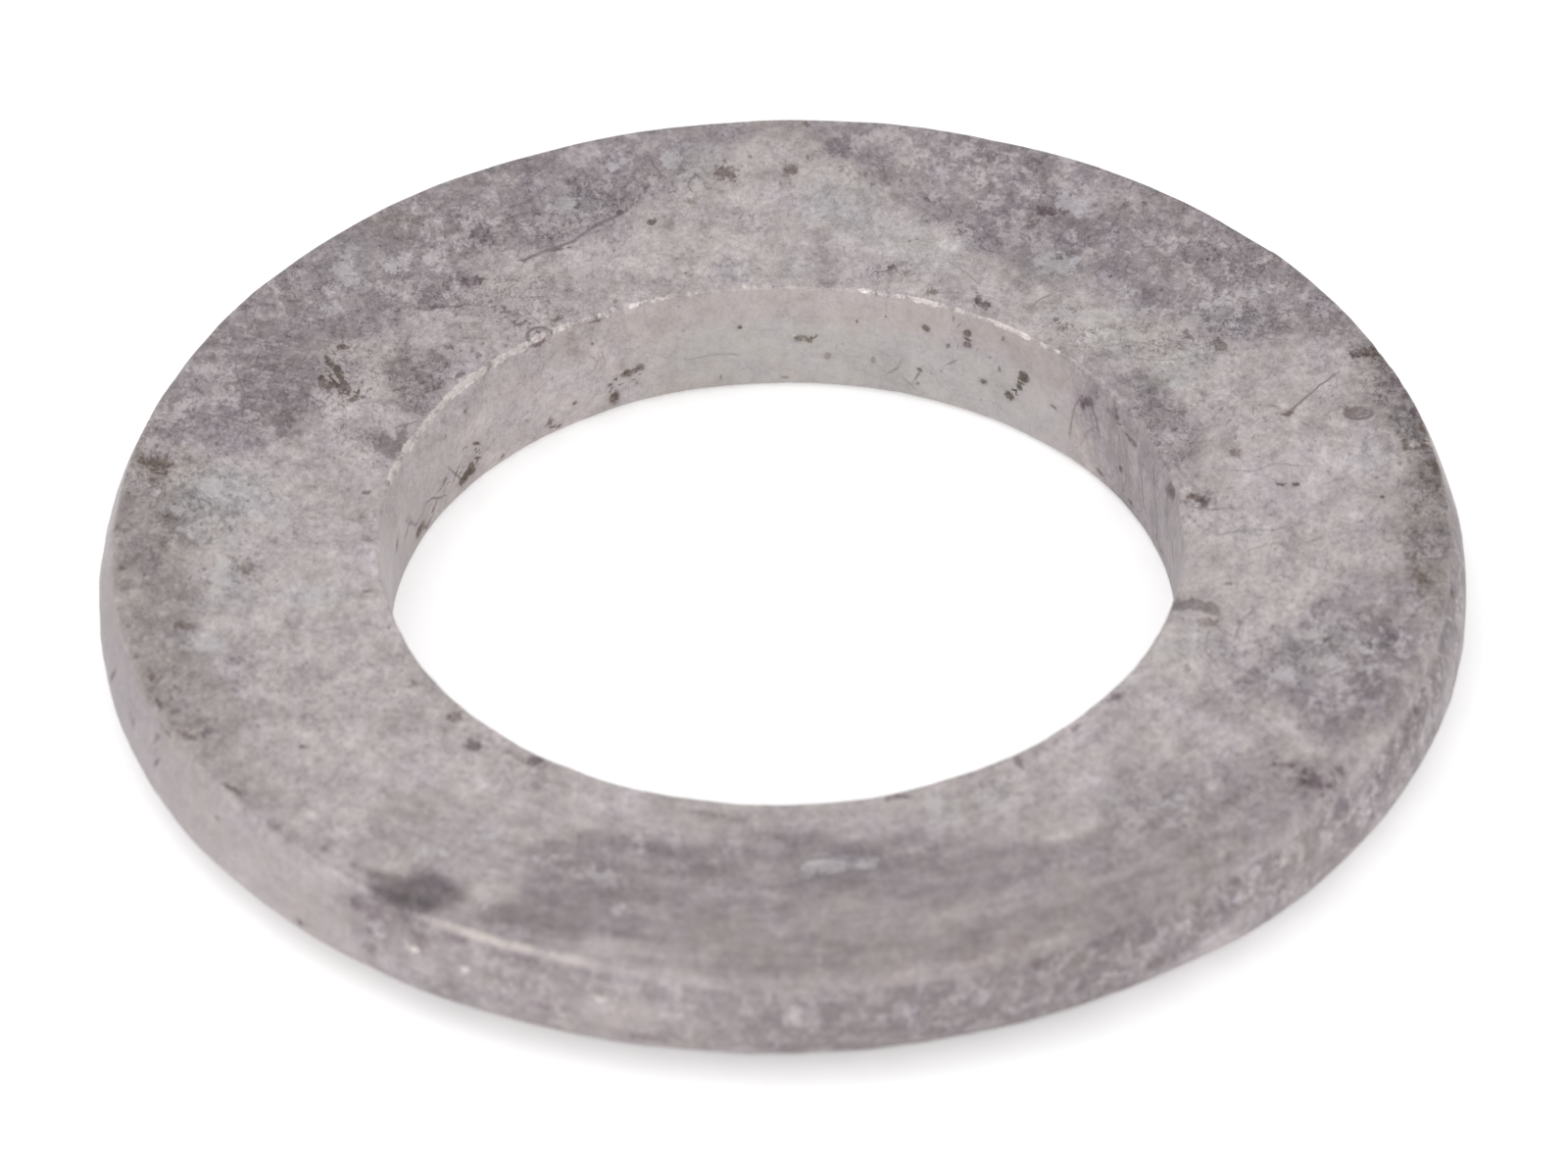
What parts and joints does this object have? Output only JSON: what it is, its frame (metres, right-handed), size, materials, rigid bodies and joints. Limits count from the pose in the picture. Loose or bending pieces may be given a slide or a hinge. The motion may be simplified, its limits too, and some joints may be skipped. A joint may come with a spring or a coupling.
{
  "type": "flat washer",
  "caption": "Plain round flat washer of galvanised steel for a metric bolt, spreading the load of a bolt head or nut.",
  "frame": {"origin": "on the bore axis, in the plane of the lower face, which is the face the die rolled over", "axes": "+Z along the bore axis, from the rolled lower face to the upper face with the sharper rims; X and Y are free, because the washer is round"},
  "size_m": [0.044, 0.044, 0.004],
  "materials": {
    "galvanised_steel": "dull, weathered hot-dip zinc with a low gloss, mottled in warm light grey and mauve grey, and worn bright along the rims"
  },
  "bodies": {
    "root": {"washer": "galvanised_steel"}
  },
  "joints": []
}
